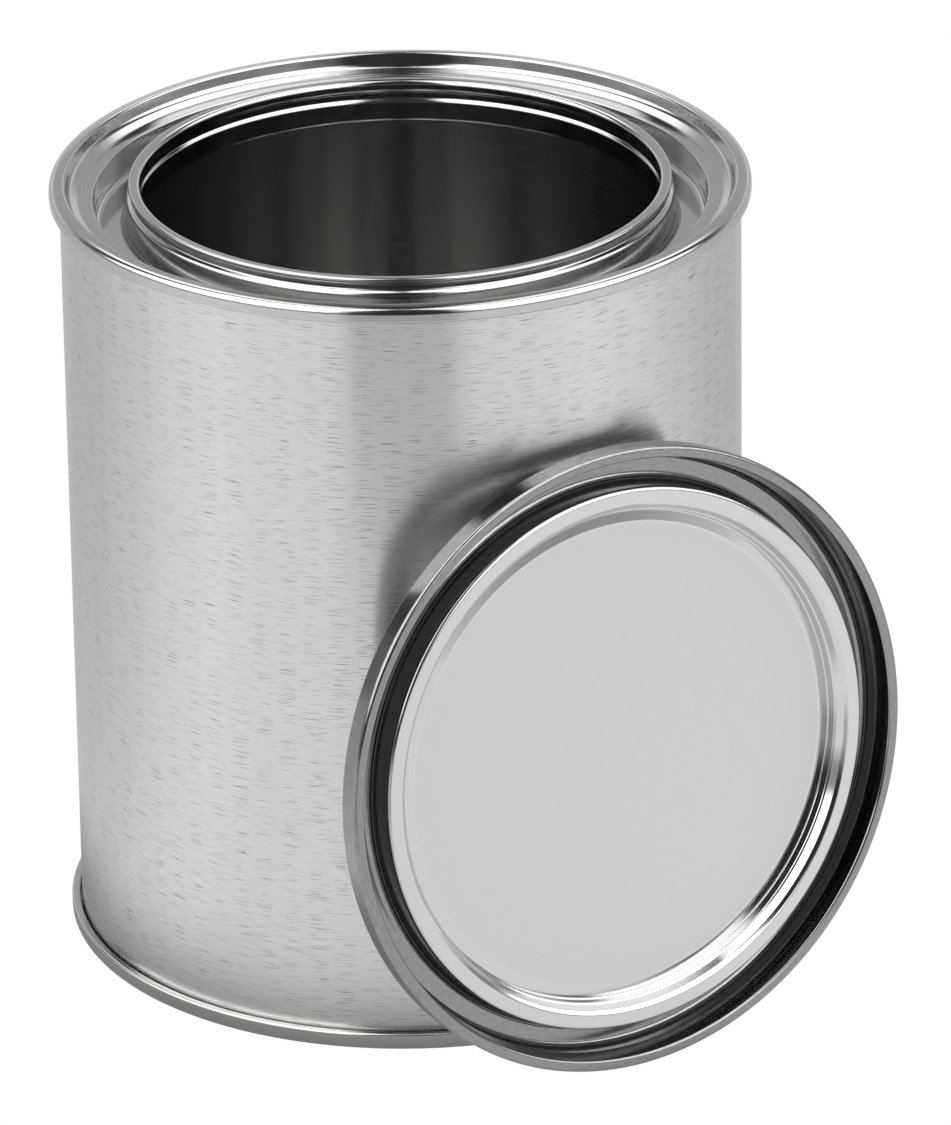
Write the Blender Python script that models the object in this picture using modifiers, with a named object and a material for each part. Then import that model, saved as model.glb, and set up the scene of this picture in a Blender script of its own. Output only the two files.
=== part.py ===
"""Quart paint can in bare tinplate, with its friction lid leaning on the wall.

Every piece is turned from sheet: a centre line of named points is thickened to
the gauge of the tinplate and revolved about the can's axis. The body is a rolled
and welded tube, flanged at both ends. The friction ring and the bottom end are
hooked over those flanges in double seams, each with a ring of sealing compound
inside. The lid is pressed from one disc, and its plug, bead, channel and skirt
take their radii from the ring that they fit.

Units are metres, +Z is up, and the stand is at the middle of the footprint.
"""
import math

import bpy
from mathutils import Matrix, Vector

# Sheet metal
SHEET = 0.00025              # gauge of the tinplate
GAP = 0.00028                # air between neighbouring sheets
FOLD = 0.0                   # bend radius of a corner that is folded sharp
SEGMENTS = 48                # facets round a turned piece
BEND_STEPS = 2               # straight pieces in one bend
BEND_SHARE = 0.48            # a bend takes at most this share of the lines beside it

# Can body and its two seams
BODY_RADIUS = 0.0524         # outside of the rolled wall
CAN_HEIGHT = 0.1238          # over both seams
TOP_SEAM_HEIGHT = 0.00255
BASE_SEAM_HEIGHT = 0.0030
COMPOUND_THICKNESS = 0.0003
WELD_AZIMUTH = math.radians(251.0)   # round from the front (-Y), towards the right (+X)
WELD_WIDTH = 0.0012          # overlap of the rolled sheet at the side weld
WELD_PROUD = 0.00012         # how far the weld stands out of each face

# Bottom end
BASE_RECESS = 0.0042         # height of the bottom panel over the floor
BASE_STEP = 0.0006           # depth of the expansion ring in that panel
BASE_RIM_WIDTH = 0.005145    # flat between the countersink wall and the expansion ring
BASE_STEP_WIDTH = 0.0095
BASE_SLOPE = 0.0013          # width of each sloping side of the expansion ring

# Friction ring, with its widths taken inwards from the seam
OPENING_DEPTH = 0.0071       # from the top of the can to the hem of the opening
HEM_WIDTH = 0.0008
HEM_LENGTH = 0.0008
LOCK_GROOVE_TOP = 0.0022     # grip line pressed outwards round the opening
LOCK_GROOVE_BOTTOM = 0.0034
LOCK_GROOVE_DEPTH = 0.0004
BEAD_DROP = 0.0003           # top of the bead below the top of the can
BEAD_WIDTH = 0.0019
BEAD_CORNER = 0.0006
GUTTER_WIDTH = 0.00545       # between the bead and the gutter's outer wall
GUTTER_DEPTH = 0.0078        # from the top of the can to the gutter floor
GUTTER_CORNER = 0.0010
SHELF_DROP = 0.00285         # top of the shelf below the top of the can
SHELF_WIDTH = 0.0022
SHELF_RISE_WIDTH = 0.00157   # slope from the shelf up to the foot of the chuck wall
SHELF_RISE_HEIGHT = 0.000785
SHELF_CORNER = 0.0008
CHUCK_TAPER = 0.0006         # how much the chuck wall closes in towards the shelf

# Lid, with heights measured from its flat panel
LID_FIT = 0.0003             # between the lid's channel and the gutter's outer wall
LID_BEAD_FIT = 0.0006        # between the lid's channel and the ring's bead
LID_PLUG_FIT = 0.00005       # between the top of the lid's plug and the opening
LID_SKIRT_FIT = 0.00192      # between the lid's skirt and the foot of the chuck wall
LID_PLUG_TAPER = 0.0009      # how much the plug narrows towards the panel
LID_BAND_WIDTH = 0.002225    # sloping band between the panel and the foot of the plug
LID_BAND_DROP = 0.00035      # the foot of the plug is this far below the panel
LID_PANEL_CORNER = 0.0008
LID_PLUG_HEIGHT = 0.0024
LID_BEAD_HEIGHT = 0.00275
LID_BEAD_RISE = 0.0006       # width of the slope from the plug up to the bead
LID_BEAD_CORNER = 0.0005
LID_CHANNEL_DEPTH = 0.0026
LID_CHANNEL_CORNER = 0.0010
LID_FLARE_LEVEL = 0.0        # height at which the channel's wall opens out to the crest
LID_FLARE_CORNER = 0.0020
LID_CREST_HEIGHT = 0.0036
LID_CREST_WIDTH = 0.0017
LID_SKIRT_DROP = 0.00015     # lower edge of the skirt below the panel
LID_HEM_WIDTH = 0.0006
LID_HEM_LENGTH = 0.0006

# How the lid leans on the can
LEAN_ANGLE = math.radians(6.4)       # of the lid's axis over the horizontal
LEAN_AZIMUTH = math.radians(31.5)    # from the front (-Y) towards the right (+X)

# Radii of the sheets in a seam, all as centre lines
WALL_LINE = BODY_RADIUS - SHEET / 2
COVER_HOOK_LINE = BODY_RADIUS + GAP + SHEET / 2
BODY_HOOK_LINE = COVER_HOOK_LINE + GAP + SHEET
SEAM_WALL_LINE = BODY_HOOK_LINE + GAP + SHEET
CHUCK_LINE = WALL_LINE - GAP - SHEET

# Radii of the friction ring and of the lid's skirt
CHUCK_FOOT_LINE = CHUCK_LINE - CHUCK_TAPER
SHELF_END_LINE = CHUCK_FOOT_LINE - SHELF_RISE_WIDTH
GUTTER_WALL_LINE = SHELF_END_LINE - SHELF_WIDTH
GUTTER_RADIUS = GUTTER_WALL_LINE - SHEET / 2
BEAD_RADIUS = GUTTER_RADIUS - GUTTER_WIDTH
OPENING_RADIUS = BEAD_RADIUS - BEAD_WIDTH
SKIRT_RADIUS = CHUCK_FOOT_LINE - SHEET / 2 - LID_SKIRT_FIT

# Distances of the sheets from the end of the can, all as centre lines
PANEL_LEVEL = SHEET / 2
COMPOUND_LEVEL = SHEET + GAP
FLANGE_LEVEL = COMPOUND_LEVEL + COMPOUND_THICKNESS + GAP + SHEET / 2
COVER_HOOK_TIP = FLANGE_LEVEL + SHEET / 2 + GAP
TOP_BODY_HOOK_TIP = TOP_SEAM_HEIGHT - SHEET - GAP
BASE_BODY_HOOK_TIP = BASE_SEAM_HEIGHT - SHEET - GAP


def collection(name):
    """Return a new collection linked to the scene."""
    group = bpy.data.collections.new(name)
    bpy.context.scene.collection.children.link(group)
    return group


def material(name, colour, roughness, metallic):
    """Return a Principled BSDF material with these values."""
    made = bpy.data.materials.new(name)
    made.use_nodes = True
    shader = made.node_tree.nodes["Principled BSDF"]
    shader.inputs["Base Color"].default_value = (*colour, 1.0)
    shader.inputs["Roughness"].default_value = roughness
    shader.inputs["Metallic"].default_value = metallic
    made.diffuse_color = (*colour, 1.0)
    return made


def bent_line(corners):
    """Round the corners of a line of (radius, height, bend) points."""
    points = [Vector((radius, height)) for radius, height, _ in corners]
    line = [points[0]]
    for index in range(1, len(points) - 1):
        corner = points[index]
        if corners[index][2] == FOLD:
            line.append(corner)
            continue
        before = points[index - 1] - corner
        after = points[index + 1] - corner
        half_angle = before.angle(after) / 2
        reach = corners[index][2] / math.tan(half_angle)
        reach = min(reach, BEND_SHARE * before.length, BEND_SHARE * after.length)
        radius = reach * math.tan(half_angle)
        middle = before.normalized() + after.normalized()
        centre = corner + middle.normalized() * (radius / math.sin(half_angle))
        start = corner + before.normalized() * reach - centre
        sweep = start.angle_signed(corner + after.normalized() * reach - centre)
        for step in range(BEND_STEPS + 1):
            turn = Matrix.Rotation(-sweep * step / BEND_STEPS, 2)
            line.append(centre + turn @ start)
    line.append(points[-1])
    return line


def side_line(line, distance):
    """Move a line sideways, keeping its distance round every corner."""
    moved = []
    for index, point in enumerate(line):
        ways = []
        if index > 0:
            ways.append((point - line[index - 1]).normalized())
        if index < len(line) - 1:
            ways.append((line[index + 1] - point).normalized())
        normals = [Vector((-way.y, way.x)) for way in ways]
        mitre = sum(normals, Vector((0.0, 0.0))).normalized()
        shift = mitre * (distance / mitre.dot(normals[0]))
        if point.x == 0.0:
            shift.x = 0.0
        moved.append(point + shift)
    return moved


def area(outline):
    """Return the signed area of a closed outline, positive anticlockwise."""
    following = outline[1:] + outline[:1]
    return sum(a.x * b.y - b.x * a.y for a, b in zip(outline, following)) / 2


def turned(name, outline, finish, group):
    """Revolve a closed (radius, height) outline about Z."""
    if area(outline) > 0:
        outline = outline[::-1]
    on_axis = [point.x == 0.0 for point in outline]
    edges = []
    for index in range(len(outline)):
        following = (index + 1) % len(outline)
        if not (on_axis[index] and on_axis[following]):
            edges.append((index, following))
    mesh = bpy.data.meshes.new(name)
    mesh.from_pydata([(point.x, 0.0, point.y) for point in outline], edges, [])
    mesh.materials.append(finish)
    piece = bpy.data.objects.new(name, mesh)
    group.objects.link(piece)
    screw = piece.modifiers.new("Turn", "SCREW")
    screw.steps = SEGMENTS
    screw.render_steps = SEGMENTS
    screw.use_merge_vertices = True
    screw.merge_threshold = 0.00001
    screw.use_smooth_shade = True
    return piece


def pressed_sheet(name, corners, finish, group):
    """Turn a piece of tinplate from the centre line of its section."""
    line = bent_line(corners)
    outline = side_line(line, SHEET / 2) + side_line(line, -SHEET / 2)[::-1]
    return turned(name, outline, finish, group)


def cover_hook(height, seam_height):
    """Corners of an end's seam, from the chuck wall's top to the hook's tip.

    height gives a height on the can from a distance to the end of the can.
    """
    turn_level = seam_height - SHEET / 2
    return [
        (CHUCK_LINE, height(PANEL_LEVEL), FOLD),
        (SEAM_WALL_LINE, height(PANEL_LEVEL), FOLD),
        (SEAM_WALL_LINE, height(turn_level), FOLD),
        (COVER_HOOK_LINE, height(turn_level), FOLD),
        (COVER_HOOK_LINE, height(COVER_HOOK_TIP), 0.0),
    ]


def from_top(depth):
    """Height of a point at this depth below the top of the can."""
    return CAN_HEIGHT - depth


def from_floor(height):
    """Height of a point at this height over the floor."""
    return height


def make_body(finish, group, cutters):
    """Rolled wall, flanged and hooked at both ends, with its side weld."""
    corners = [
        (BODY_HOOK_LINE, from_floor(BASE_BODY_HOOK_TIP), 0.0),
        (BODY_HOOK_LINE, from_floor(FLANGE_LEVEL), FOLD),
        (WALL_LINE, from_floor(FLANGE_LEVEL), FOLD),
        (WALL_LINE, from_top(FLANGE_LEVEL), FOLD),
        (BODY_HOOK_LINE, from_top(FLANGE_LEVEL), FOLD),
        (BODY_HOOK_LINE, from_top(TOP_BODY_HOOK_TIP), 0.0),
    ]
    body = pressed_sheet("body_shell", corners, finish, group)
    weld_depth = SHEET + 2 * WELD_PROUD
    weld_start = from_floor(BASE_SEAM_HEIGHT + GAP)
    weld_end = from_top(TOP_SEAM_HEIGHT + GAP)
    weld_length = weld_end - weld_start
    weld_middle = (weld_start + weld_end) / 2
    weld_place = (WALL_LINE * math.sin(WELD_AZIMUTH), -WALL_LINE * math.cos(WELD_AZIMUTH), weld_middle)
    bpy.ops.mesh.primitive_cube_add(size=1.0, location=weld_place, rotation=(0.0, 0.0, WELD_AZIMUTH))
    weld = bpy.context.object
    weld.name = "weld_strip"
    weld.scale = (WELD_WIDTH, weld_depth, weld_length)
    for holder in weld.users_collection:
        holder.objects.unlink(weld)
    cutters.objects.link(weld)
    weld.hide_render = True
    weld.display_type = "WIRE"
    join = body.modifiers.new("Side weld", "BOOLEAN")
    join.operation = "UNION"
    join.object = weld
    return body, weld


def make_bottom(finish, group):
    """Countersunk bottom end with one expansion ring."""
    rim = CHUCK_LINE - BASE_RIM_WIDTH
    step_end = rim - BASE_SLOPE
    step_start = step_end - BASE_STEP_WIDTH
    low = BASE_RECESS - BASE_STEP
    corners = [
        (0.0, BASE_RECESS, 0.0),
        (step_start - BASE_SLOPE, BASE_RECESS, FOLD),
        (step_start, low, FOLD),
        (step_end, low, FOLD),
        (rim, BASE_RECESS, FOLD),
        (CHUCK_LINE, BASE_RECESS, FOLD),
    ]
    return pressed_sheet("bottom_end", corners + cover_hook(from_floor, BASE_SEAM_HEIGHT), finish, group)


def make_ring(finish, group):
    """Friction ring: hemmed opening, bead, gutter, shelf and seam."""
    half = SHEET / 2
    opening = OPENING_RADIUS + half
    grip = opening + LOCK_GROOVE_DEPTH
    grip_slope = LOCK_GROOVE_DEPTH
    hem = opening + HEM_WIDTH
    hem_level = OPENING_DEPTH - half
    bead_outer = BEAD_RADIUS - half
    bead_top = BEAD_DROP + half
    gutter_floor = GUTTER_DEPTH + half
    shelf = SHELF_DROP + half
    section = [
        (hem, hem_level - HEM_LENGTH, 0.0),
        (hem, hem_level, FOLD),
        (opening, hem_level, FOLD),
        (opening, LOCK_GROOVE_BOTTOM + grip_slope, FOLD),
        (grip, LOCK_GROOVE_BOTTOM, FOLD),
        (grip, LOCK_GROOVE_TOP, FOLD),
        (opening, LOCK_GROOVE_TOP - grip_slope, FOLD),
        (opening, bead_top, BEAD_CORNER),
        (bead_outer, bead_top, BEAD_CORNER),
        (bead_outer, gutter_floor, GUTTER_CORNER),
        (GUTTER_WALL_LINE, gutter_floor, GUTTER_CORNER),
        (GUTTER_WALL_LINE, shelf, FOLD),
        (SHELF_END_LINE, shelf, SHELF_CORNER),
        (CHUCK_FOOT_LINE, shelf - SHELF_RISE_HEIGHT, SHELF_CORNER),
    ]
    corners = [(radius, from_top(depth), bend) for radius, depth, bend in section]
    return pressed_sheet("friction_ring", corners + cover_hook(from_top, TOP_SEAM_HEIGHT), finish, group)


def make_compound(name, height, finish, group):
    """Ring of sealing compound between a seam's panel and the body flange."""
    inner = CHUCK_LINE + SHEET / 2 + GAP
    outer = SEAM_WALL_LINE - SHEET / 2 - GAP
    near = height(COMPOUND_LEVEL)
    far = height(COMPOUND_LEVEL + COMPOUND_THICKNESS)
    outline = [Vector((inner, near)), Vector((outer, near)), Vector((outer, far)), Vector((inner, far))]
    return turned(name, outline, finish, group)


def lid_section():
    """Corners of the lid's centre line, from its middle out to the skirt's hem."""
    half = SHEET / 2
    plug = OPENING_RADIUS - LID_PLUG_FIT - half
    plug_foot = plug - LID_PLUG_TAPER
    bead_end = BEAD_RADIUS + LID_BEAD_FIT + half
    channel_end = GUTTER_RADIUS - LID_FIT - half
    skirt = SKIRT_RADIUS - half
    crest_start = skirt - LID_CREST_WIDTH + half
    channel_floor = -LID_CHANNEL_DEPTH - half
    crest = LID_CREST_HEIGHT - half
    hem_level = -LID_SKIRT_DROP + half
    return [
        (0.0, -half, 0.0),
        (plug_foot - LID_BAND_WIDTH, -half, LID_PANEL_CORNER),
        (plug_foot, -half - LID_BAND_DROP, FOLD),
        (plug, LID_PLUG_HEIGHT - half, FOLD),
        (plug + LID_BEAD_RISE, LID_BEAD_HEIGHT - half, LID_BEAD_CORNER),
        (bead_end, LID_BEAD_HEIGHT - half, FOLD),
        (bead_end, channel_floor, LID_CHANNEL_CORNER),
        (channel_end, channel_floor, LID_CHANNEL_CORNER),
        (channel_end, LID_FLARE_LEVEL, LID_FLARE_CORNER),
        (crest_start, crest, FOLD),
        (skirt, crest, FOLD),
        (skirt, hem_level, FOLD),
        (skirt - LID_HEM_WIDTH, hem_level, FOLD),
        (skirt - LID_HEM_WIDTH, hem_level + LID_HEM_LENGTH, 0.0),
    ]


def lean(lid):
    """Stand the lid on its skirt, with its channel against the can's wall."""
    channel_radius = GUTTER_RADIUS - LID_FIT - LID_CHANNEL_CORNER
    behind = LID_CHANNEL_DEPTH + SHEET
    distance = (BODY_RADIUS + GAP + channel_radius * math.sin(LEAN_ANGLE)
                + behind * math.cos(LEAN_ANGLE))
    height = SKIRT_RADIUS * math.cos(LEAN_ANGLE) + LID_SKIRT_DROP * math.sin(LEAN_ANGLE)
    tip = Matrix.Rotation(math.pi / 2 - LEAN_ANGLE, 4, "X")
    turn = Matrix.Rotation(LEAN_AZIMUTH, 4, "Z")
    lid.matrix_world = turn @ Matrix.Translation((0.0, -distance, height)) @ tip


def footprint_middle(pieces):
    """Middle of the box round the evaluated pieces, on the floor."""
    bpy.context.view_layer.update()
    graph = bpy.context.evaluated_depsgraph_get()
    corners = []
    for piece in pieces:
        mesh = piece.evaluated_get(graph).to_mesh()
        corners += [piece.matrix_world @ vertex.co for vertex in mesh.vertices]
    low = [min(corner[axis] for corner in corners) for axis in range(3)]
    high = [max(corner[axis] for corner in corners) for axis in range(3)]
    return Vector(((low[0] + high[0]) / 2, (low[1] + high[1]) / 2, low[2]))


def build():
    """Make the can and its lid, and stand them in the shared frame."""
    for old in list(bpy.data.objects):
        bpy.data.objects.remove(old, do_unlink=True)
    parts = collection("paint_can")
    cutters = collection("paint_can_cutters")

    wall_finish = material("tinplate_wall", (0.62, 0.62, 0.61), 0.35, 1.0)
    end_finish = material("tinplate_end", (0.60, 0.60, 0.59), 0.28, 1.0)
    ring_finish = material("tinplate_ring", (0.66, 0.66, 0.66), 0.18, 1.0)
    lid_finish = material("tinplate_lid", (0.68, 0.68, 0.68), 0.18, 1.0)
    compound_finish = material("sealing_compound", (0.30, 0.28, 0.24), 0.75, 0.0)

    body, weld = make_body(wall_finish, parts, cutters)
    pieces = [
        body,
        make_bottom(end_finish, parts),
        make_ring(ring_finish, parts),
        make_compound("top_seam_compound", from_top, compound_finish, parts),
        make_compound("bottom_seam_compound", from_floor, compound_finish, parts),
    ]
    lid = pressed_sheet("lid", lid_section(), lid_finish, parts)
    lean(lid)
    pieces.append(lid)

    stand = bpy.data.objects.new("stand", None)
    parts.objects.link(stand)
    stand.location = -footprint_middle(pieces)
    for piece in pieces + [weld]:
        piece.parent = stand


build()
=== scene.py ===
# %% [markdown]
# # A quart paint can in bare tinplate
#
# The real thing is made of a rolled tube and three pressings, all from tinned
# steel about a quarter of a millimetre thick: the body, then the friction ring
# at the mouth, the bottom end and the lid. The frame gives each its place, size
# and movement. This lesson draws the fine surfaces round that frame, and then
# spends its care on the metal, because bare tin is nothing but reflections.

# %% Load the frame and keep its box
import math

import bmesh
import bpy
from mathutils import Matrix, Vector


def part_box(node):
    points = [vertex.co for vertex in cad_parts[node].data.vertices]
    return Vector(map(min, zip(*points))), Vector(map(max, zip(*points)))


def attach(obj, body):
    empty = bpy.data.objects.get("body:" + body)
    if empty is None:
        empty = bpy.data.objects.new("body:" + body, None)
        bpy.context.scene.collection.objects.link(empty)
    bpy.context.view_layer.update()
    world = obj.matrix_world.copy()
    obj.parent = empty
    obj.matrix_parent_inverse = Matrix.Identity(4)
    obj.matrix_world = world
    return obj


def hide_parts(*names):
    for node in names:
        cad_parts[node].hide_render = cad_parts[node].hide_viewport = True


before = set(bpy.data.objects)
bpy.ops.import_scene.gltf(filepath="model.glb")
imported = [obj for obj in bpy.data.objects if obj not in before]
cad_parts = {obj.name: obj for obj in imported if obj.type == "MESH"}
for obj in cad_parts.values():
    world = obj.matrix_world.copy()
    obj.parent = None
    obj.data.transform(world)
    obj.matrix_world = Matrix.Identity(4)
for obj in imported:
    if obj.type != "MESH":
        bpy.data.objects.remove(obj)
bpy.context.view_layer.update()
print("nodes:", ", ".join(sorted(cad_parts)))

# %% [markdown]
# ## Where the can and the lid stand
#
# Everything here is turned, so two axes place it all. The can's axis is the
# middle of its friction ring. The lid leans, so its axis is read from its flat
# panel: the panel's normal is the way the lid faces, and the middle of the
# panel is where the axis passes through it. Typing the angles in again would
# work too, but they would be wrong as soon as the frame changed.

# %% Read both axes from the frame
MM = 0.001

ring_low, ring_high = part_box("friction_ring")
can_axis = Vector(((ring_low.x + ring_high.x) / 2, (ring_low.y + ring_high.y) / 2, 0.0))
can_place = Matrix.Translation(can_axis)
SEAM_RADIUS = (ring_high.x - ring_low.x) / 2 / MM
CAN_HEIGHT = ring_high.z / MM
print(f"can: {2 * SEAM_RADIUS:.2f} mm over the seam, {CAN_HEIGHT:.1f} mm high")

lid_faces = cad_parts["lid"].data.polygons
widest = max((face for face in lid_faces if face.normal.z > 0.0), key=lambda face: face.area)
facing = widest.normal.copy()
LEVEL = 0.02 * MM
panel = [
    face for face in lid_faces
    if face.normal.dot(facing) > 0.9999
    and abs((face.center - widest.center).dot(facing)) < LEVEL
]
panel_area = sum(face.area for face in panel)
lid_middle = sum((face.center * face.area for face in panel), Vector()) / panel_area
across = Vector((0.0, 0.0, 1.0)).cross(facing).normalized()
lid_place = Matrix((across, facing.cross(across), facing)).transposed().to_4x4()
lid_place.translation = lid_middle
print(f"lid: leans back {math.degrees(math.asin(facing.z)):.1f} degrees")

# %% [markdown]
# ## The camera
#
# A long lens a good way off keeps the can's sides nearly parallel, as in a
# catalogue picture. The camera looks down along +Y at a point in the middle of
# the can, turned one degree on its own axis. Its shift frames the can and the
# lid together without turning the lens away from the can.

# %% Place the camera
CAMERA_DISTANCE = 1.4428
CAMERA_ELEVATION = math.radians(24.12)
CAMERA_ROLL = math.radians(-1.0)
CAMERA_LENS = 295.4
SENSOR = 36.0
SHIFT = (0.0615, -0.0190)

aim = can_axis + Vector((0.0, 0.0, CAN_HEIGHT * MM / 2))
look = Vector((0.0, math.cos(CAMERA_ELEVATION), -math.sin(CAMERA_ELEVATION)))
right = Vector((1.0, 0.0, 0.0))
top = right.cross(look)
turned_right = math.cos(CAMERA_ROLL) * right + math.sin(CAMERA_ROLL) * top
turned_top = math.cos(CAMERA_ROLL) * top - math.sin(CAMERA_ROLL) * right

bpy.ops.object.camera_add(location=aim - look * CAMERA_DISTANCE)
camera = bpy.context.object
camera.rotation_euler = Matrix((turned_right, turned_top, -look)).transposed().to_euler()
camera.data.lens = CAMERA_LENS
camera.data.sensor_width = SENSOR
camera.data.shift_x, camera.data.shift_y = SHIFT
bpy.context.scene.camera = camera
print(f"camera: {CAMERA_DISTANCE:.3f} m away, {math.degrees(CAMERA_ELEVATION):.1f} degrees up")

# %% [markdown]
# ## Turning a piece of sheet
#
# A press forms each end between round tools, so its section is all that has to
# be drawn: a chain of points in the plane y = 0, made from one vertex by
# extruding it again and again. Each corner is then rounded by a vertex bevel
# with the bend radius that the tool gives it. Spin turns the section about the
# axis, and Solidify gives it the gauge of the sheet. A subdivided cage could
# give similar bends, but it would not hold a bend radius in millimetres.

# %% Helpers for a turned piece
GAUGE = 0.25
SEGMENTS = 256
ARC_STEP = math.radians(11.0)
BEND_SHARE = 0.48
SAME_POINT = 0.0001
SMOOTH_ANGLE = math.radians(40.0)


def point_at(radius, height):
    """Turn a radius and a height in millimetres into a point in the section plane."""
    return Vector((radius * MM, 0.0, height * MM))


def draw_section(name, corners):
    """Extrude one vertex along (radius, height, bend) corners."""
    bpy.ops.object.select_all(action="DESELECT")
    bpy.ops.mesh.primitive_plane_add(size=MM)
    piece = bpy.context.object
    piece.name = name
    piece.data.name = name
    bpy.ops.object.mode_set(mode="EDIT")
    bpy.ops.mesh.select_all(action="SELECT")
    bpy.ops.mesh.merge(type="CENTER")
    here = point_at(*corners[0][:2])
    bpy.ops.transform.translate(value=here)
    for radius, height, _ in corners[1:]:
        there = point_at(radius, height)
        bpy.ops.mesh.extrude_region_move(TRANSFORM_OT_translate={"value": there - here})
        here = there
    return piece


def round_corner(piece, corners, index):
    """Bevel the vertex at one corner into an arc of that corner's bend radius."""
    before, corner, after = (Vector(corners[at][:2]) for at in (index - 1, index, index + 1))
    half_angle = (before - corner).angle(after - corner) / 2
    reach = min(
        corners[index][2] / math.tan(half_angle),
        BEND_SHARE * (before - corner).length,
        BEND_SHARE * (after - corner).length,
    )
    bpy.ops.mesh.select_all(action="DESELECT")
    shape = bmesh.from_edit_mesh(piece.data)
    place = point_at(*corner)
    nearest = min(shape.verts, key=lambda vertex: (vertex.co - place).length)
    nearest.select = True
    bmesh.update_edit_mesh(piece.data)
    steps = max(3, math.ceil((math.pi - 2 * half_angle) / ARC_STEP))
    bpy.ops.mesh.bevel(offset=reach * MM, segments=steps, affect="VERTICES")


def turn_sheet(name, corners, place):
    """Draw a section, turn it about the axis, give it its gauge and put it in place."""
    piece = draw_section(name, corners)
    for index in range(1, len(corners) - 1):
        if corners[index][2] > 0.0:
            round_corner(piece, corners, index)
    bpy.ops.mesh.select_all(action="SELECT")
    bpy.ops.mesh.spin(steps=SEGMENTS, angle=2 * math.pi, center=(0, 0, 0), axis=(0, 0, 1))
    bpy.ops.mesh.select_all(action="SELECT")
    bpy.ops.mesh.remove_doubles(threshold=SAME_POINT * MM)
    bpy.ops.mesh.normals_make_consistent(inside=False)
    bpy.ops.object.mode_set(mode="OBJECT")
    sheet = piece.modifiers.new("Gauge", "SOLIDIFY")
    sheet.thickness = GAUGE * MM
    sheet.offset = 0.0
    sheet.use_even_offset = True
    bpy.ops.object.modifier_apply(modifier=sheet.name)
    piece.matrix_world = place
    bpy.ops.object.transform_apply(location=True, rotation=True, scale=True)
    return piece


def finish_shading(piece):
    """Shade smooth over the bends, with flat stretches kept flat."""
    bpy.ops.object.select_all(action="DESELECT")
    piece.select_set(True)
    bpy.context.view_layer.objects.active = piece
    bpy.ops.object.shade_smooth_by_angle(angle=SMOOTH_ANGLE)
    even = piece.modifiers.new("Even shading", "WEIGHTED_NORMAL")
    even.keep_sharp = True
    bpy.ops.object.modifier_apply(modifier=even.name)
    low = [round(value / MM, 2) for value in piece.bound_box[0]]
    print(f"{piece.name}: {len(piece.data.polygons)} faces, lowest corner {low} mm")


# %% [markdown]
# ## Radii of the sheets in a double seam
#
# An end is hooked over the flange of the body and rolled flat, so five layers
# of sheet lie side by side in the seam. Each radius below is the middle of one
# layer, counted inwards from the outside of the seam that the frame gives.

# %% Work out the layers of the seam
LAYER_GAP = 0.28
LAYER = GAUGE + LAYER_GAP
SEAM_WALL = SEAM_RADIUS - GAUGE / 2
BODY_HOOK = SEAM_WALL - LAYER
COVER_HOOK = BODY_HOOK - LAYER
WALL = COVER_HOOK - LAYER
CHUCK = WALL - LAYER
TOP_SEAM_HEIGHT = 2.55
BASE_SEAM_HEIGHT = 3.0
HOOK_LENGTH = 0.7
INNER_BEND = 0.42
OUTER_BEND = 1.05
CREST_FALL = 0.25
HOOK_BEND = 0.26


def seam_corners(end, seam_height):
    """Corners of an end's half of the seam; end gives a height from a depth in the seam."""
    half = GAUGE / 2
    return [
        (CHUCK, end(half), INNER_BEND),
        (SEAM_WALL, end(half + CREST_FALL), OUTER_BEND),
        (SEAM_WALL, end(seam_height - half), HOOK_BEND),
        (COVER_HOOK, end(seam_height - half), HOOK_BEND),
        (COVER_HOOK, end(seam_height - half - HOOK_LENGTH), 0.0),
    ]


def below_top(depth):
    """Height of a point this far below the top of the can."""
    return CAN_HEIGHT - depth


def over_floor(height):
    """Height of a point this far over the floor."""
    return height


# %% [markdown]
# ## The body
#
# The body is a strip of tinplate rolled round and welded along one line, then
# flanged out at both ends for the seams. Turning gives the tube. The weld is
# where the edges overlap: the tube is cut by bisect planes on both sides of
# that line, and the strip between them is pushed out of both faces.

# %% Turn the body and raise its side weld
FLANGE_DEPTH = 1.235
WELD_WIDTH = 1.2
WELD_SHOULDER = 0.25
WELD_PROUD = 0.12
WELD_END = 3.4
WELD_AZIMUTH = math.radians(251.0)
CUT_REACH = 4.0
SLACK = 0.01
weld_out = Vector((math.sin(WELD_AZIMUTH), -math.cos(WELD_AZIMUTH), 0.0))
weld_across = Vector((math.cos(WELD_AZIMUTH), math.sin(WELD_AZIMUTH), 0.0))

body = turn_sheet("can_body", [
    (BODY_HOOK, BASE_SEAM_HEIGHT - LAYER - GAUGE / 2, 0.0),
    (BODY_HOOK, FLANGE_DEPTH, HOOK_BEND),
    (WALL, FLANGE_DEPTH, HOOK_BEND),
    (WALL, below_top(FLANGE_DEPTH), HOOK_BEND),
    (BODY_HOOK, below_top(FLANGE_DEPTH), HOOK_BEND),
    (BODY_HOOK, below_top(TOP_SEAM_HEIGHT - LAYER - GAUGE / 2), 0.0),
], can_place)

weld_sides = [side * (WELD_WIDTH / 2 + extra) for side in (-1, 1) for extra in (0.0, WELD_SHOULDER)]
cuts = [(can_axis + weld_across * side * MM, weld_across) for side in weld_sides]
weld_heights = (
    WELD_END,
    WELD_END + WELD_SHOULDER,
    below_top(WELD_END + WELD_SHOULDER),
    below_top(WELD_END),
)
cuts += [((0.0, 0.0, height * MM), (0.0, 0.0, 1.0)) for height in weld_heights]

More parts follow.
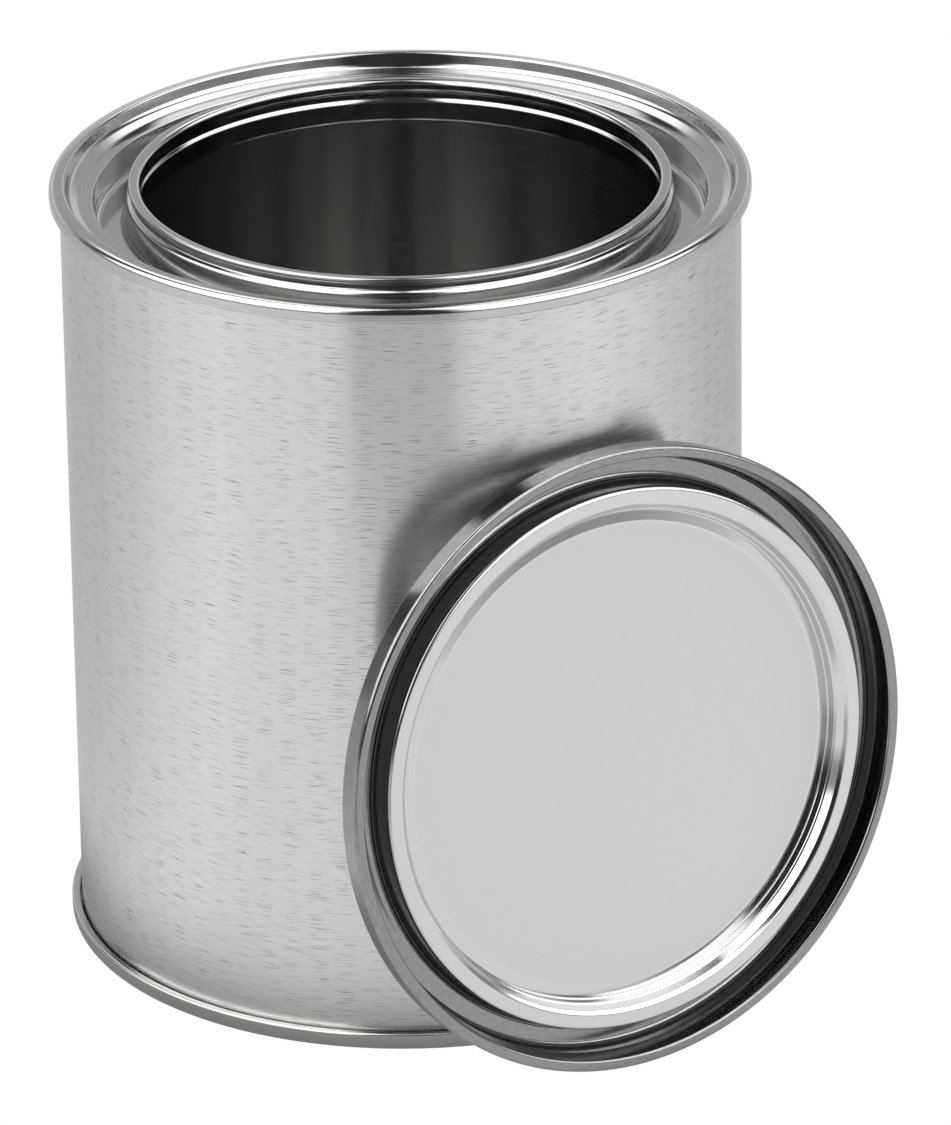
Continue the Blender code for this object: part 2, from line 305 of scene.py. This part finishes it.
bpy.ops.object.mode_set(mode="EDIT")
for plane_point, plane_normal in cuts:
    bpy.ops.mesh.select_all(action="DESELECT")
    shape = bmesh.from_edit_mesh(body.data)
    for face in shape.faces:
        middle = face.calc_center_median() - can_axis
        face.select = abs(middle.dot(weld_across)) < CUT_REACH * MM and middle.dot(weld_out) > 0.0
    bmesh.update_edit_mesh(body.data)
    bpy.ops.mesh.bisect(plane_co=plane_point, plane_no=plane_normal)

for side in (-1, 1):
    bpy.ops.mesh.select_all(action="DESELECT")
    shape = bmesh.from_edit_mesh(body.data)
    for vertex in shape.verts:
        place = vertex.co - can_axis
        outside = (place.xy.length - WALL * MM) * side > 0.0
        beside_weld = abs(place.dot(weld_across)) < (WELD_WIDTH / 2 + SLACK) * MM
        weld_side = place.dot(weld_out) > 0.0
        along_weld = weld_heights[1] - SLACK < place.z / MM < weld_heights[2] + SLACK
        vertex.select = outside and beside_weld and weld_side and along_weld
    shape.select_flush(True)
    bmesh.update_edit_mesh(body.data)
    bpy.ops.transform.translate(value=weld_out * side * WELD_PROUD * MM)
bpy.ops.object.mode_set(mode="OBJECT")
finish_shading(body)

# %% [markdown]
# ## The friction ring
#
# The ring closes the top of the can down to its mouth. From the mouth outwards
# it has a hem, a wall with a grip groove, a rolled bead, the gutter that the
# lid's channel drops into, a narrow shelf, and the wall that the seaming chuck
# pressed on. The soft bends catch wide highlights and the tight ones catch
# thin lines, so each corner has its own radius.

# %% Turn the friction ring
MOUTH = 40.025
GRIP = MOUTH + 0.4
BEAD_OUTER = 41.675
WAIST = 41.35
GUTTER_INNER = 42.1
GUTTER_WALL = 47.375
SHELF_END = 49.575
CHUCK_FOOT = CHUCK - 0.6

ring = turn_sheet("mouth_ring", [
    (radius, below_top(depth), bend) for radius, depth, bend in [
        (MOUTH + 0.8, 6.175, 0.0),
        (MOUTH + 0.8, 6.975, 0.36),
        (MOUTH, 6.975, 0.36),
        (MOUTH, 3.85, 0.5),
        (GRIP, 3.4, 0.35),
        (GRIP, 2.3, 0.35),
        (MOUTH, 1.85, 0.5),
        (MOUTH, 0.425, 1.0),
        (BEAD_OUTER, 0.425, 0.55),
        (BEAD_OUTER, 1.05, 0.3),
        (WAIST, 1.35, 0.35),
        (WAIST, 2.2, 0.3),
        (GUTTER_INNER, 2.7, 0.6),
        (GUTTER_INNER, 7.925, 1.3),
        (GUTTER_WALL, 7.925, 1.3),
        (GUTTER_WALL, 2.975, 0.22),
        (SHELF_END, 2.975, 1.3),
        (CHUCK_FOOT, 2.19, 1.2),
    ]
] + seam_corners(below_top, TOP_SEAM_HEIGHT), can_place)
finish_shading(ring)

# %% [markdown]
# ## The bottom end
#
# The bottom is pressed the same way. Its panel stands a few millimetres clear
# of the table, and a shallow step round it lets the panel flex when the can is
# filled hot or dropped.

# %% Turn the bottom end
PANEL_HEIGHT = 4.2
STEP_HEIGHT = PANEL_HEIGHT - 0.6

bottom = turn_sheet("bottom_end_pressing", [
    (0.0, PANEL_HEIGHT, 0.0),
    (34.5, PANEL_HEIGHT, 1.5),
    (35.8, STEP_HEIGHT, 1.5),
    (45.3, STEP_HEIGHT, 1.5),
    (46.6, PANEL_HEIGHT, 1.5),
    (CHUCK, PANEL_HEIGHT, 0.9),
] + seam_corners(over_floor, BASE_SEAM_HEIGHT), can_place)
finish_shading(bottom)

# %% [markdown]
# ## The lid
#
# The lid is one pressing too: a flat panel, the plug that fills the mouth, a
# bead that sits over the ring's bead, a channel that wedges into the gutter,
# and a skirt with its raw edge folded in. Heights count from the panel.

# %% Turn the lid
lid = turn_sheet("lid_pressing", [
    (0.0, -0.125, 0.0),
    (36.7, -0.125, 0.9),
    (38.6, -0.48, 0.35),
    (38.85, 0.95, 0.2),
    (39.12, 1.1, 0.2),
    (39.72, 2.2, 0.4),
    (40.3, 2.625, 0.5),
    (42.525, 2.625, 0.6),
    (42.525, -2.725, 1.5),
    (46.825, -2.725, 1.1),
    (46.9, 0.4, 2.0),
    (47.45, 3.475, 0.35),
    (48.975, 3.475, 0.5),
    (48.975, -0.025, 0.28),
    (48.375, -0.025, 0.28),
    (48.375, 0.6, 0.0),
], lid_place)
finish_shading(lid)

# %% [markdown]
# ## A helper for materials
#
# Each finish is a node tree. One function adds a node with its settings, its
# values and its links, so that a finish reads from top to bottom like a recipe.


# %% Helpers for a finish
def linear(code):
    """Turn an sRGB hex colour into the linear values that a shader works with."""
    values = [int(code[at:at + 2], 16) / 255 for at in (1, 3, 5)]
    return [
        value / 12.92 if value <= 0.04045 else ((value + 0.055) / 1.055) ** 2.4
        for value in values
    ] + [1.0]


def add(tree, kind, inputs=None, **settings):
    """Add a node: settings are its own, inputs are values or the sockets that feed it."""
    node = tree.nodes.new(kind)
    for name, value in settings.items():
        setattr(node, name, value)
    for socket, value in (inputs or {}).items():
        if isinstance(value, bpy.types.NodeSocket):
            tree.links.new(value, node.inputs[socket])
        else:
            node.inputs[socket].default_value = value
    return node


def new_finish(name):
    """Make a material with an empty tree but for its output and shader."""
    finish = bpy.data.materials.new(name)
    finish.use_nodes = True
    return finish, finish.node_tree, finish.node_tree.nodes["Principled BSDF"]


def dress(piece, finish):
    """Give a piece one finish all over."""
    piece.data.materials.clear()
    piece.data.materials.append(finish)


def round_coordinates(tree, place):
    """Give millimetres round the axis, along it and out from it, on Object coordinates."""
    where = add(tree, "ShaderNodeTexCoord")
    centred = add(tree, "ShaderNodeMapping", {
        "Vector": where.outputs["Object"],
        "Location": place.translation,
        "Rotation": place.to_euler(),
        "Scale": (MM, MM, MM),
    }, vector_type="TEXTURE")
    parts = add(tree, "ShaderNodeSeparateXYZ", {0: centred.outputs[0]})
    backwards = add(tree, "ShaderNodeMath", {0: parts.outputs["Y"], 1: -1.0}, operation="MULTIPLY")
    angle = add(tree, "ShaderNodeMath", {0: parts.outputs["X"], 1: backwards.outputs[0]}, operation="ARCTAN2")
    flat = add(tree, "ShaderNodeCombineXYZ", {0: parts.outputs["X"], 1: parts.outputs["Y"]})
    out = add(tree, "ShaderNodeVectorMath", {0: flat.outputs[0]}, operation="LENGTH")
    return centred.outputs[0], angle.outputs[0], parts.outputs["Z"], out.outputs["Value"]


# %% [markdown]
# ## Rolled tinplate
#
# The wall shows the sheet as the mill left it. Rolling leaves fine lines and
# short dark dashes along the strip, which runs round the can. Light spreads
# across those lines more than along them, so the gloss is anisotropic: the
# reflections stay crisp from side to side and smear up and down. The strip is
# never quite even, so its gloss follows the grain and its tilt drifts slowly
# round the can.

# %% Make the rolled tinplate
def rolled_tinplate():
    """Satin tinned sheet with its grain round the can, and a blued weld line."""
    finish, tree, shader = new_finish("rolled_tinplate")
    _, angle, height, out = round_coordinates(tree, can_place)
    inside = add(tree, "ShaderNodeMapRange", {
        "Value": out, "From Min": WALL + 0.05, "From Max": WALL - 0.05,
    }).outputs[0]
    around = add(tree, "ShaderNodeMath", {0: angle, 1: WALL}, operation="MULTIPLY").outputs[0]
    sheet = add(tree, "ShaderNodeCombineXYZ", {0: around, 1: height}).outputs[0]

    # Mill dashes are too fine to show, so they are drawn about 0.1 mm thick.
    dashes_at = add(tree, "ShaderNodeMapping", {"Vector": sheet, "Scale": (0.24, 9.0, 1.0)})
    dashes = add(tree, "ShaderNodeTexNoise", {
        "Vector": dashes_at.outputs[0], "Scale": 1.0, "Detail": 1.0, "Roughness": 0.5,
    }, noise_dimensions="2D")
    dash = add(tree, "ShaderNodeMapRange", {
        "Value": dashes.outputs[0], "From Min": 0.665, "From Max": 0.74,
    }, interpolation_type="SMOOTHSTEP")
    patches = add(tree, "ShaderNodeTexNoise", {
        "Vector": sheet, "Scale": 0.09, "Detail": 1.0,
    }, noise_dimensions="2D")
    patch = add(tree, "ShaderNodeMapRange", {
        "Value": patches.outputs[0], "From Min": 0.30, "From Max": 0.55, "To Min": 0.7,
    }, interpolation_type="SMOOTHSTEP")
    mark = add(tree, "ShaderNodeMath", {0: dash.outputs[0], 1: patch.outputs[0]}, operation="MULTIPLY")

    # Grain lines are a hundredth of a millimetre wide, drawn here at 0.2 mm.
    grain_at = add(tree, "ShaderNodeMapping", {"Vector": sheet, "Scale": (0.12, 5.0, 1.0)})
    grain = add(tree, "ShaderNodeTexNoise", {
        "Vector": grain_at.outputs[0], "Scale": 1.0, "Detail": 3.0, "Roughness": 0.7,
    }, noise_dimensions="2D")
    drift_at = add(tree, "ShaderNodeMapping", {"Vector": sheet, "Scale": (0.09, 0.006, 1.0)})
    drift = add(tree, "ShaderNodeTexNoise", {
        "Vector": drift_at.outputs[0], "Scale": 1.0, "Detail": 2.0,
    }, noise_dimensions="2D")

    tone = add(tree, "ShaderNodeMix", {
        "Factor": grain.outputs[0], "A": linear("#C8C7C5"), "B": linear("#D6D5D3"),
    }, data_type="RGBA")
    marked = add(tree, "ShaderNodeMix", {
        "Factor": mark.outputs[0], "A": tone.outputs["Result"], "B": linear("#929090"),
    }, data_type="RGBA")

    # The weld heats the tin: blue-grey at the line, straw beside it.
    beside = add(tree, "ShaderNodeMath", {0: angle, 1: WELD_AZIMUTH - 2 * math.pi}, operation="SUBTRACT")
    aside = add(tree, "ShaderNodeMath", {0: beside.outputs[0]}, operation="ABSOLUTE")
    from_weld = add(tree, "ShaderNodeMath", {0: aside.outputs[0], 1: WALL}, operation="MULTIPLY")
    wavering = add(tree, "ShaderNodeMath", {0: grain.outputs[0], 1: from_weld.outputs[0]}, operation="ADD")
    heat = add(tree, "ShaderNodeValToRGB", {"Fac": add(tree, "ShaderNodeMapRange", {
        "Value": wavering.outputs[0], "From Min": 0.5, "From Max": 4.5}).outputs[0]})
    heat_bands = [(0.0, "#6E6F76"), (0.12, "#8F8A86"), (0.2, "#A99E8C"), (0.5, "#CFC8BA"), (1.0, "#FFFFFF")]
    for position, code in heat_bands:
        stop = heat.color_ramp.elements[0] if position == 0.0 else heat.color_ramp.elements.new(position)
        stop.color = linear(code)
    heated = add(tree, "ShaderNodeMix", {
        "Factor": 1.0, "A": marked.outputs["Result"], "B": heat.outputs[0],
    }, data_type="RGBA", blend_type="MULTIPLY")

    outer_gloss = add(tree, "ShaderNodeMapRange", {
        "Value": grain.outputs[0], "From Min": 0.2, "From Max": 0.8, "To Min": 0.19, "To Max": 0.26,
    })
    gloss = add(tree, "ShaderNodeMix", {
        "Factor": inside, "A": outer_gloss.outputs[0], "B": 0.13,
    }, data_type="FLOAT")
    tilt = add(tree, "ShaderNodeBump", {
        "Strength": 1.0, "Distance": 0.03 * MM, "Height": drift.outputs[0],
    })
    relief = add(tree, "ShaderNodeBump", {
        "Strength": 1.0, "Distance": 0.0022 * MM, "Height": grain.outputs[0], "Normal": tilt.outputs[0],
    })
    dents = add(tree, "ShaderNodeBump", {
        "Strength": 1.0, "Distance": 0.005 * MM, "Height": mark.outputs[0], "Normal": relief.outputs[0],
    }, invert=True)
    across_grain = add(tree, "ShaderNodeCombineXYZ", {2: 1.0})
    tree.links.new(heated.outputs["Result"], shader.inputs["Base Color"])
    tree.links.new(gloss.outputs[0], shader.inputs["Roughness"])
    tree.links.new(dents.outputs[0], shader.inputs["Normal"])
    tree.links.new(across_grain.outputs[0], shader.inputs["Tangent"])
    shader.inputs["Metallic"].default_value = 1.0
    shader.inputs["Anisotropic"].default_value = 0.9
    return finish


dress(body, rolled_tinplate())
print("finish:", body.active_material.name)

# %% [markdown]
# ## Pressed tinplate
#
# Where the press and the seaming rolls have worked the sheet, the tin is
# burnished: nearly a mirror, with hair-fine lines that run round the piece.
# The lid's flat panel never touches a tool, and stays matte. Its outer channel and rim get a darker tone as
# painted shade, standing in for the dark reflections there; that darker tone is not a known property of the
# tin.

# %% Make the pressed tinplate
def pressed_tinplate(name, place, panel_radius, painted_shade_radius, gloss_low, gloss_high, tones):
    """Burnished rings round a matte panel, with a darker tone painted on as shade beyond the given radius."""
    finish, tree, shader = new_finish(name)
    local, angle, height, out = round_coordinates(tree, place)

    # Tool lines are too fine to show, so they are drawn about 0.2 mm apart.
    around = add(tree, "ShaderNodeMath", {0: angle, 1: 6.0}, operation="MULTIPLY").outputs[0]
    profile = add(tree, "ShaderNodeMath", {0: out, 1: height}, operation="ADD").outputs[0]
    lines_at = add(tree, "ShaderNodeCombineXYZ", {0: around, 1: profile})
    lines = add(tree, "ShaderNodeTexNoise", {
        "Vector": lines_at.outputs[0], "Scale": 5.0, "Detail": 3.0, "Roughness": 0.75,
    }, noise_dimensions="2D")
    wear = add(tree, "ShaderNodeTexNoise", {"Vector": local, "Scale": 0.25, "Detail": 3.0})
    flat_at = add(tree, "ShaderNodeMapping", {"Vector": local, "Scale": (0.35, 5.0, 1.0)})
    flat = add(tree, "ShaderNodeTexNoise", {
        "Vector": flat_at.outputs[0], "Scale": 1.0, "Detail": 4.0, "Roughness": 0.7,
    }, noise_dimensions="2D")
    on_panel = add(tree, "ShaderNodeMapRange", {
        "Value": out, "From Min": panel_radius + 0.3, "From Max": panel_radius - 0.3,
    }, interpolation_type="SMOOTHSTEP").outputs[0]

    pattern = add(tree, "ShaderNodeMix", {
        "Factor": on_panel, "A": lines.outputs[0], "B": flat.outputs[0],
    }, data_type="FLOAT").outputs[0]
    tone = add(tree, "ShaderNodeMix", {
        "Factor": pattern, "A": linear(tones[0]), "B": linear(tones[1]),
    }, data_type="RGBA")
    # Painted shade: past the given radius the tone darkens, standing in for the dark reflections in the lid's
    # channel and rim.
    painted_shade_mask = add(tree, "ShaderNodeMapRange", {
        "Value": out, "From Min": painted_shade_radius - 0.3, "From Max": painted_shade_radius + 0.3,
    }, interpolation_type="SMOOTHSTEP").outputs[0]
    painted_shade_tone = add(tree, "ShaderNodeMix", {
        "Factor": pattern, "A": linear("#767575"), "B": linear("#A6A5A4"),
    }, data_type="RGBA")
    tone_with_painted_shade = add(tree, "ShaderNodeMix", {
        "Factor": painted_shade_mask, "A": tone.outputs["Result"], "B": painted_shade_tone.outputs["Result"],
    }, data_type="RGBA")
    rings_gloss = add(tree, "ShaderNodeMapRange", {
        "Value": wear.outputs[0], "From Min": 0.3, "From Max": 0.7, "To Min": gloss_low, "To Max": gloss_high,
    })
    panel_gloss = add(tree, "ShaderNodeMapRange", {
        "Value": flat.outputs[0], "From Min": 0.2, "From Max": 0.8, "To Min": 0.40, "To Max": 0.50,
    })
    gloss = add(tree, "ShaderNodeMix", {
        "Factor": on_panel, "A": rings_gloss.outputs[0], "B": panel_gloss.outputs[0],
    }, data_type="FLOAT")
    relief = add(tree, "ShaderNodeBump", {"Strength": 1.0, "Distance": 0.003 * MM, "Height": pattern})
    tree.links.new(tone_with_painted_shade.outputs["Result"], shader.inputs["Base Color"])
    tree.links.new(gloss.outputs[0], shader.inputs["Roughness"])
    tree.links.new(relief.outputs[0], shader.inputs["Normal"])
    shader.inputs["Metallic"].default_value = 1.0
    return finish


NO_PANEL = -1.0
# A radius past every piece puts no painted shade on it; the lid's painted shade starts at its channel.
NO_PAINTED_SHADE = 99.0
LID_PANEL = 36.4
LID_CHANNEL = 42.4

dress(ring, pressed_tinplate(
    "burnished_tinplate", can_place, NO_PANEL, NO_PAINTED_SHADE, 0.07, 0.15, ("#B4B3B2", "#CBCAC9"),
))
dress(bottom, pressed_tinplate(
    "bottom_tinplate", can_place, NO_PANEL, NO_PAINTED_SHADE, 0.10, 0.18, ("#C4C3C2", "#D0CFCE"),
))
dress(lid, pressed_tinplate(
    "lid_tinplate", lid_place, LID_PANEL, LID_CHANNEL, 0.07, 0.13, ("#CAC9C8", "#D4D3D2"),
))
print("finishes:", ", ".join(piece.active_material.name for piece in (ring, bottom, lid)))

# %% [markdown]
# ## Sealing compound
#
# A bead of rubbery compound, sprayed into each end and dried, makes the seams
# tight. It is hidden in the seam, so the frame's own rings stay and only get
# the finish: dull, warm grey, and slightly blotchy.


# %% Dress the sealing rings
def dried_compound():
    """Dried can sealing compound: dull rubber with a mottled tone."""
    finish, tree, shader = new_finish("dried_compound")
    where = add(tree, "ShaderNodeTexCoord")
    mottle = add(tree, "ShaderNodeTexNoise", {
        "Vector": where.outputs["Object"], "Scale": 900.0, "Detail": 3.0,
    })
    tone = add(tree, "ShaderNodeMix", {
        "Factor": mottle.outputs[0], "A": linear("#857F73"), "B": linear("#A39C8D"),
    }, data_type="RGBA")
    bumps = add(tree, "ShaderNodeBump", {
        "Strength": 1.0, "Distance": 0.02 * MM, "Height": mottle.outputs[0],
    })
    tree.links.new(tone.outputs["Result"], shader.inputs["Base Color"])
    tree.links.new(bumps.outputs[0], shader.inputs["Normal"])
    shader.inputs["Roughness"].default_value = 0.75
    return finish


compound = dried_compound()
for node in ("top_seam_compound", "bottom_seam_compound"):
    dress(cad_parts[node], compound)
print("finish:", compound.name)

# %% [markdown]
# ## Joining the frame
#
# Each pressing stands for one node of the frame, and rides on the can or on
# the lid, so that it moves when the lid is lifted.

# %% Hand the pieces to the frame
for piece, node, home, slot in [
    (body, "body_shell", "can", "tinplate_wall"),
    (ring, "friction_ring", "can", "tinplate_ring"),
    (bottom, "bottom_end", "can", "tinplate_end"),
    (lid, "lid", "lid", "tinplate_lid"),
]:
    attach(piece, home)
    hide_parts(node)
    print(f"{piece.name} stands for {node}")

# %% [markdown]
# ## The studio
#
# Bare tin shows the room and nothing else, so the room is drawn for what it
# does in the metal. Two long banks of light hang left and right, with a dark
# gap between them where the camera stands. The table glows as if it were lit:
# bright to both sides, dimmer behind and far in front. A glowing table takes no
# cast shadow, so the shade close to the can is drawn into its glow.
# To the lens itself, table and room are the same plain white.

# %% Build the table and the room
FLOOR_SIZE = 9.0
BANK_GLOW = 2.5
BACK_BANK_GLOW = 2.0
BACK_WALL_GLOW = 0.48
DARK_GLOW = 0.04
HORIZON_GLOW = 0.7
BELT_GLOW = 0.35
LOW_GLOW = 0.3
TABLE_GLOW = [
    (0.0, 0.62), (0.12, 0.62), (0.25, 0.70), (0.42, 0.82),
    (0.6, 0.98), (0.75, 1.05), (0.88, 0.98), (1.0, 0.98),
]

bpy.ops.object.select_all(action="DESELECT")
bpy.ops.mesh.primitive_plane_add(size=FLOOR_SIZE, location=(0.0, 0.0, 0.0))
floor = bpy.context.object
floor.name = "studio_floor"
paper, table, paper_shader = new_finish("lit_white_table")
spot = add(table, "ShaderNodeTexCoord").outputs["Object"]
from_can = add(table, "ShaderNodeVectorMath", {0: spot, 1: can_axis}, operation="SUBTRACT").outputs[0]
reach = add(table, "ShaderNodeVectorMath", {0: from_can}, operation="LENGTH").outputs["Value"]
frontwards = add(table, "ShaderNodeVectorMath", {
    0: add(table, "ShaderNodeVectorMath", {0: from_can}, operation="NORMALIZE").outputs[0],
    1: (0.0, -0.5, 0.0),
}, operation="DOT_PRODUCT").outputs["Value"]
facing_front = add(table, "ShaderNodeMath", {0: frontwards, 1: 0.5}, operation="ADD").outputs[0]
table_light = add(table, "ShaderNodeValToRGB", {"Fac": facing_front})
table_light.color_ramp.interpolation = "EASE"
for share, glow in TABLE_GLOW:
    stops = table_light.color_ramp.elements
    stop = stops[0] if share == 0.0 else stops[-1] if share == 1.0 else stops.new(share)
    stop.color = (glow, glow, glow, 1.0)
shade = add(table, "ShaderNodeMapRange", {
    "Value": reach, "From Min": 0.052, "From Max": 0.085, "To Min": 0.3, "To Max": 1.0,
}, interpolation_type="SMOOTHSTEP")
shaded = add(table, "ShaderNodeMath", {
    0: table_light.outputs[0], 1: shade.outputs[0],
}, operation="MULTIPLY")
in_front = add(table, "ShaderNodeMapRange", {
    "Value": facing_front, "From Min": 0.965, "From Max": 0.99,
}, interpolation_type="SMOOTHSTEP")
far = add(table, "ShaderNodeMapRange", {
    "Value": reach, "From Min": 0.20, "From Max": 0.34,
}, interpolation_type="SMOOTHSTEP")
far_front = add(table, "ShaderNodeMath", {0: in_front.outputs[0], 1: far.outputs[0]}, operation="MULTIPLY")
dimmed = add(table, "ShaderNodeMix", {
    "Factor": far_front.outputs[0], "A": 1.0, "B": 0.6,
}, data_type="FLOAT")
reflected = add(table, "ShaderNodeMath", {0: shaded.outputs[0], 1: dimmed.outputs[0]}, operation="MULTIPLY")
seen = add(table, "ShaderNodeLightPath")
table_strength = add(table, "ShaderNodeMix", {
    "Factor": seen.outputs["Is Camera Ray"], "A": reflected.outputs[0], "B": 1.0,
}, data_type="FLOAT")
paper_shader.inputs["Base Color"].default_value = linear("#000000")
paper_shader.inputs["Specular IOR Level"].default_value = 0.0
paper_shader.inputs["Emission Color"].default_value = linear("#FFFFFF")
table.links.new(table_strength.outputs[0], paper_shader.inputs["Emission Strength"])
dress(floor, paper)

world = bpy.data.worlds.new("studio_room")
world.use_nodes = True
bpy.context.scene.world = world
room = world.node_tree
way = add(room, "ShaderNodeSeparateXYZ", {0: add(room, "ShaderNodeTexCoord").outputs["Generated"]})
aside = add(room, "ShaderNodeMath", {0: way.outputs["X"]}, operation="ABSOLUTE").outputs[0]
away = add(room, "ShaderNodeMath", {0: way.outputs["Y"], 1: -1.0}, operation="MULTIPLY").outputs[0]
round_room = add(room, "ShaderNodeMath", {0: aside, 1: away}, operation="ARCTAN2").outputs[0]
over_table = way.outputs["Z"]


def up(degrees):
    """Turn an angle over the horizon into the height that the room is measured by."""
    return math.sin(math.radians(degrees))


# Each light is the product of its edges: what is measured, from where to where, and the two levels.
side_banks = [
    (round_room, math.radians(16.0), math.radians(27.0), 0.0, 1.0),
    (round_room, math.radians(106.0), math.radians(118.0), 1.0, 0.0),
    (over_table, up(12.0), up(20.0), 0.0, BANK_GLOW),
]
back_banks = [
    (round_room, math.radians(134.0), math.radians(142.0), 0.0, 1.0),
    (over_table, up(32.0), up(40.0), 0.0, BACK_BANK_GLOW),
    (aside, 0.05, 0.15, 0.0, 1.0),
]
back_wall = [
    (round_room, math.radians(120.0), math.radians(140.0), 0.0, 1.0),
    (over_table, up(32.0), up(40.0), BACK_WALL_GLOW, 0.0),
]
low_light = [
    (round_room, math.radians(20.0), math.radians(40.0), 0.0, 1.0),
    (over_table, up(12.0), up(20.0), LOW_GLOW, 0.0),
]
upper = DARK_GLOW
for edges in (side_banks, back_banks, back_wall, low_light):
    light = 1.0
    for measured, start, end, low, high in edges:
        edge = add(room, "ShaderNodeMapRange", {
            "Value": measured, "From Min": start, "From Max": end, "To Min": low, "To Max": high,
        }, interpolation_type="SMOOTHSTEP")
        light = add(room, "ShaderNodeMath", {0: light, 1: edge.outputs[0]}, operation="MULTIPLY").outputs[0]
    upper = add(room, "ShaderNodeMath", {0: upper, 1: light}, operation="ADD").outputs[0]

belt = add(room, "ShaderNodeMapRange", {
    "Value": round_room, "From Min": math.radians(10.0), "From Max": math.radians(36.0),
    "To Min": BELT_GLOW, "To Max": HORIZON_GLOW,
}, interpolation_type="SMOOTHSTEP")
above = add(room, "ShaderNodeMapRange", {
    "Value": over_table, "From Min": up(1.0), "From Max": up(6.0),
}, interpolation_type="SMOOTHSTEP")
lit_room = add(room, "ShaderNodeMix", {
    "Factor": above.outputs[0], "A": belt.outputs[0], "B": upper,
}, data_type="FLOAT")
seen_room = add(room, "ShaderNodeLightPath")
room_strength = add(room, "ShaderNodeMix", {
    "Factor": seen_room.outputs["Is Camera Ray"], "A": lit_room.outputs[0], "B": 1.0,
}, data_type="FLOAT")
backdrop = room.nodes["Background"]
backdrop.inputs["Color"].default_value = linear("#FFFFFF")
room.links.new(room_strength.outputs[0], backdrop.inputs["Strength"])

bpy.context.scene.view_settings.view_transform = "Standard"
print(f"studio: {floor.name} and {world.name}")
